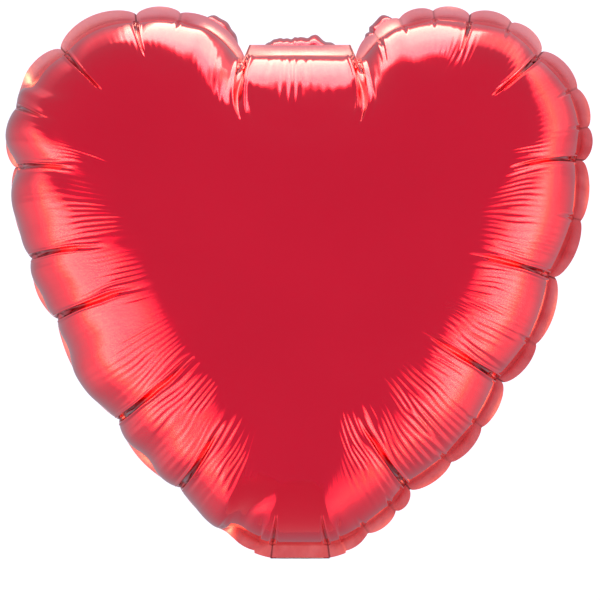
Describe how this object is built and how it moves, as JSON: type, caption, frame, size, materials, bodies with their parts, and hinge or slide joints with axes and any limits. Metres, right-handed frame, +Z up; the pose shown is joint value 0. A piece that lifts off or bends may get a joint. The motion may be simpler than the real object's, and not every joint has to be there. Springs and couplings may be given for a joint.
{
  "type": "foil balloon",
  "caption": "Inflated heart-shaped foil balloon with puckered weld rim, folded filling tail and self-sealing film valve.",
  "frame": {"origin": "the neck, at the bottom tip of the heart, where a ribbon is tied", "axes": "+X across the lobes to the right seen from the front, -Y out of the front, +Z up from the neck to the notch"},
  "size_m": [0.3796, 0.178, 0.3559],
  "materials": {
    "red_foil": "ruby red metallised film, mirror bright under a clear gloss layer",
    "valve_film": "clear thin polyethylene film"
  },
  "bodies": {
    "envelope": {"front_panel": "red_foil", "back_panel": "red_foil", "valve_front_film": "valve_film", "valve_back_film": "valve_film"},
    "tail": {"tail_front_ply": "red_foil", "tail_back_ply": "red_foil", "tail_valve_front_film": "valve_film", "tail_valve_back_film": "valve_film"}
  },
  "joints": [
    {"name": "tail_fold", "type": "hinge", "parent": "envelope", "child": "tail", "pos_m": [0, 0, -0.0006], "axis": [-1, 0, 0], "range_deg": [0, 230]}
  ]
}
